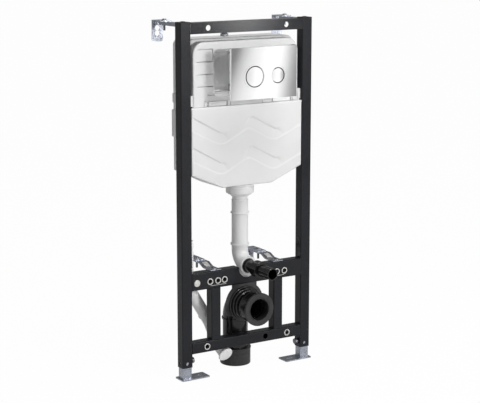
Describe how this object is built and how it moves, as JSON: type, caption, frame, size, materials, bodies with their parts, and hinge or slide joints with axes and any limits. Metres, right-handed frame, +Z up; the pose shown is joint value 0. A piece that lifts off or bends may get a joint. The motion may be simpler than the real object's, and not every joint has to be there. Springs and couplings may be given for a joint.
{
  "type": "wall hung toilet frame",
  "caption": "Free-standing steel pre-wall frame for a wall hung toilet, with concealed cistern, dual flush plate, flush and waste connections and height-adjustable feet.",
  "frame": {"origin": "centre of the wall face of the upper left wall plate, on the wall plane, 1.128 m above the floor", "axes": "+X to the right seen from the room, +Y into the wall, +Z up; the floor is at z = -1.128 m"},
  "size_m": [0.509, 0.3335, 1.1685],
  "materials": {
    "anthracite_paint": "satin powder coat",
    "galvanised_steel": "zinc coated",
    "white_plastic": "smooth moulded",
    "grey_plastic": "smooth moulded",
    "black_plastic": "glossy",
    "seal_rubber": "soft matt",
    "chrome_plate": "polished"
  },
  "bodies": {
    "wall_plates": {"left_upper_wall_plate": "galvanised_steel", "right_upper_wall_plate": "galvanised_steel", "left_lower_wall_plate": "galvanised_steel", "right_lower_wall_plate": "galvanised_steel"},
    "frame": {"left_upright": "anthracite_paint", "right_upright": "anthracite_paint", "top_rail": "anthracite_paint", "fixing_rail": "anthracite_paint", "bottom_rail": "anthracite_paint", "left_strut": "anthracite_paint", "right_strut": "anthracite_paint", "elbow_holder": "anthracite_paint", "left_upper_arm": "galvanised_steel", "right_upper_arm": "galvanised_steel", "left_lower_arm": "galvanised_steel", "right_lower_arm": "galvanised_steel", "plate_stays": "galvanised_steel", "inlet_fitting": "galvanised_steel", "bracket_bolts": "galvanised_steel", "leg_clamp_bolts": "galvanised_steel", "threaded_inserts": "galvanised_steel", "tank": "white_plastic", "cistern_hood": "white_plastic", "cistern_front": "white_plastic", "side_grips": "white_plastic", "conduit": "white_plastic", "conduit_cap": "white_plastic", "outlet_nut": "white_plastic", "flush_pipe": "white_plastic", "flush_elbow": "white_plastic", "pipe_saddle": "white_plastic", "service_box": "grey_plastic", "plate_carrier": "grey_plastic", "flush_connector": "black_plastic", "waste_elbow": "black_plastic", "waste_adaptor": "black_plastic", "post_caps": "black_plastic", "rail_plug": "black_plastic", "conduit_clips": "black_plastic", "flush_seal": "seal_rubber", "waste_seal": "seal_rubber", "flush_plate": "chrome_plate"},
    "left_leg": {"left_leg": "galvanised_steel"},
    "right_leg": {"right_leg": "galvanised_steel"},
    "full_button": {"full_flush_button": "chrome_plate"},
    "half_button": {"half_flush_button": "chrome_plate"}
  },
  "joints": [
    {"name": "depth_adjustment", "type": "slide", "parent": "wall_plates", "child": "frame", "axis": [0, 1, 0], "range_m": [0, 0.02]},
    {"name": "left_leg_height", "type": "slide", "parent": "frame", "child": "left_leg", "axis": [0, 0, -1], "range_m": [-0.03, 0.16]},
    {"name": "right_leg_height", "type": "slide", "parent": "frame", "child": "right_leg", "axis": [0, 0, -1], "range_m": [-0.03, 0.16]},
    {"name": "full_button_press", "type": "slide", "parent": "frame", "child": "full_button", "axis": [0, 1, 0], "range_m": [0, 0.006], "stiffness_N_per_m": 500, "springref_m": -0.003},
    {"name": "half_button_press", "type": "slide", "parent": "frame", "child": "half_button", "axis": [0, 1, 0], "range_m": [0, 0.006], "stiffness_N_per_m": 500, "springref_m": -0.003}
  ]
}
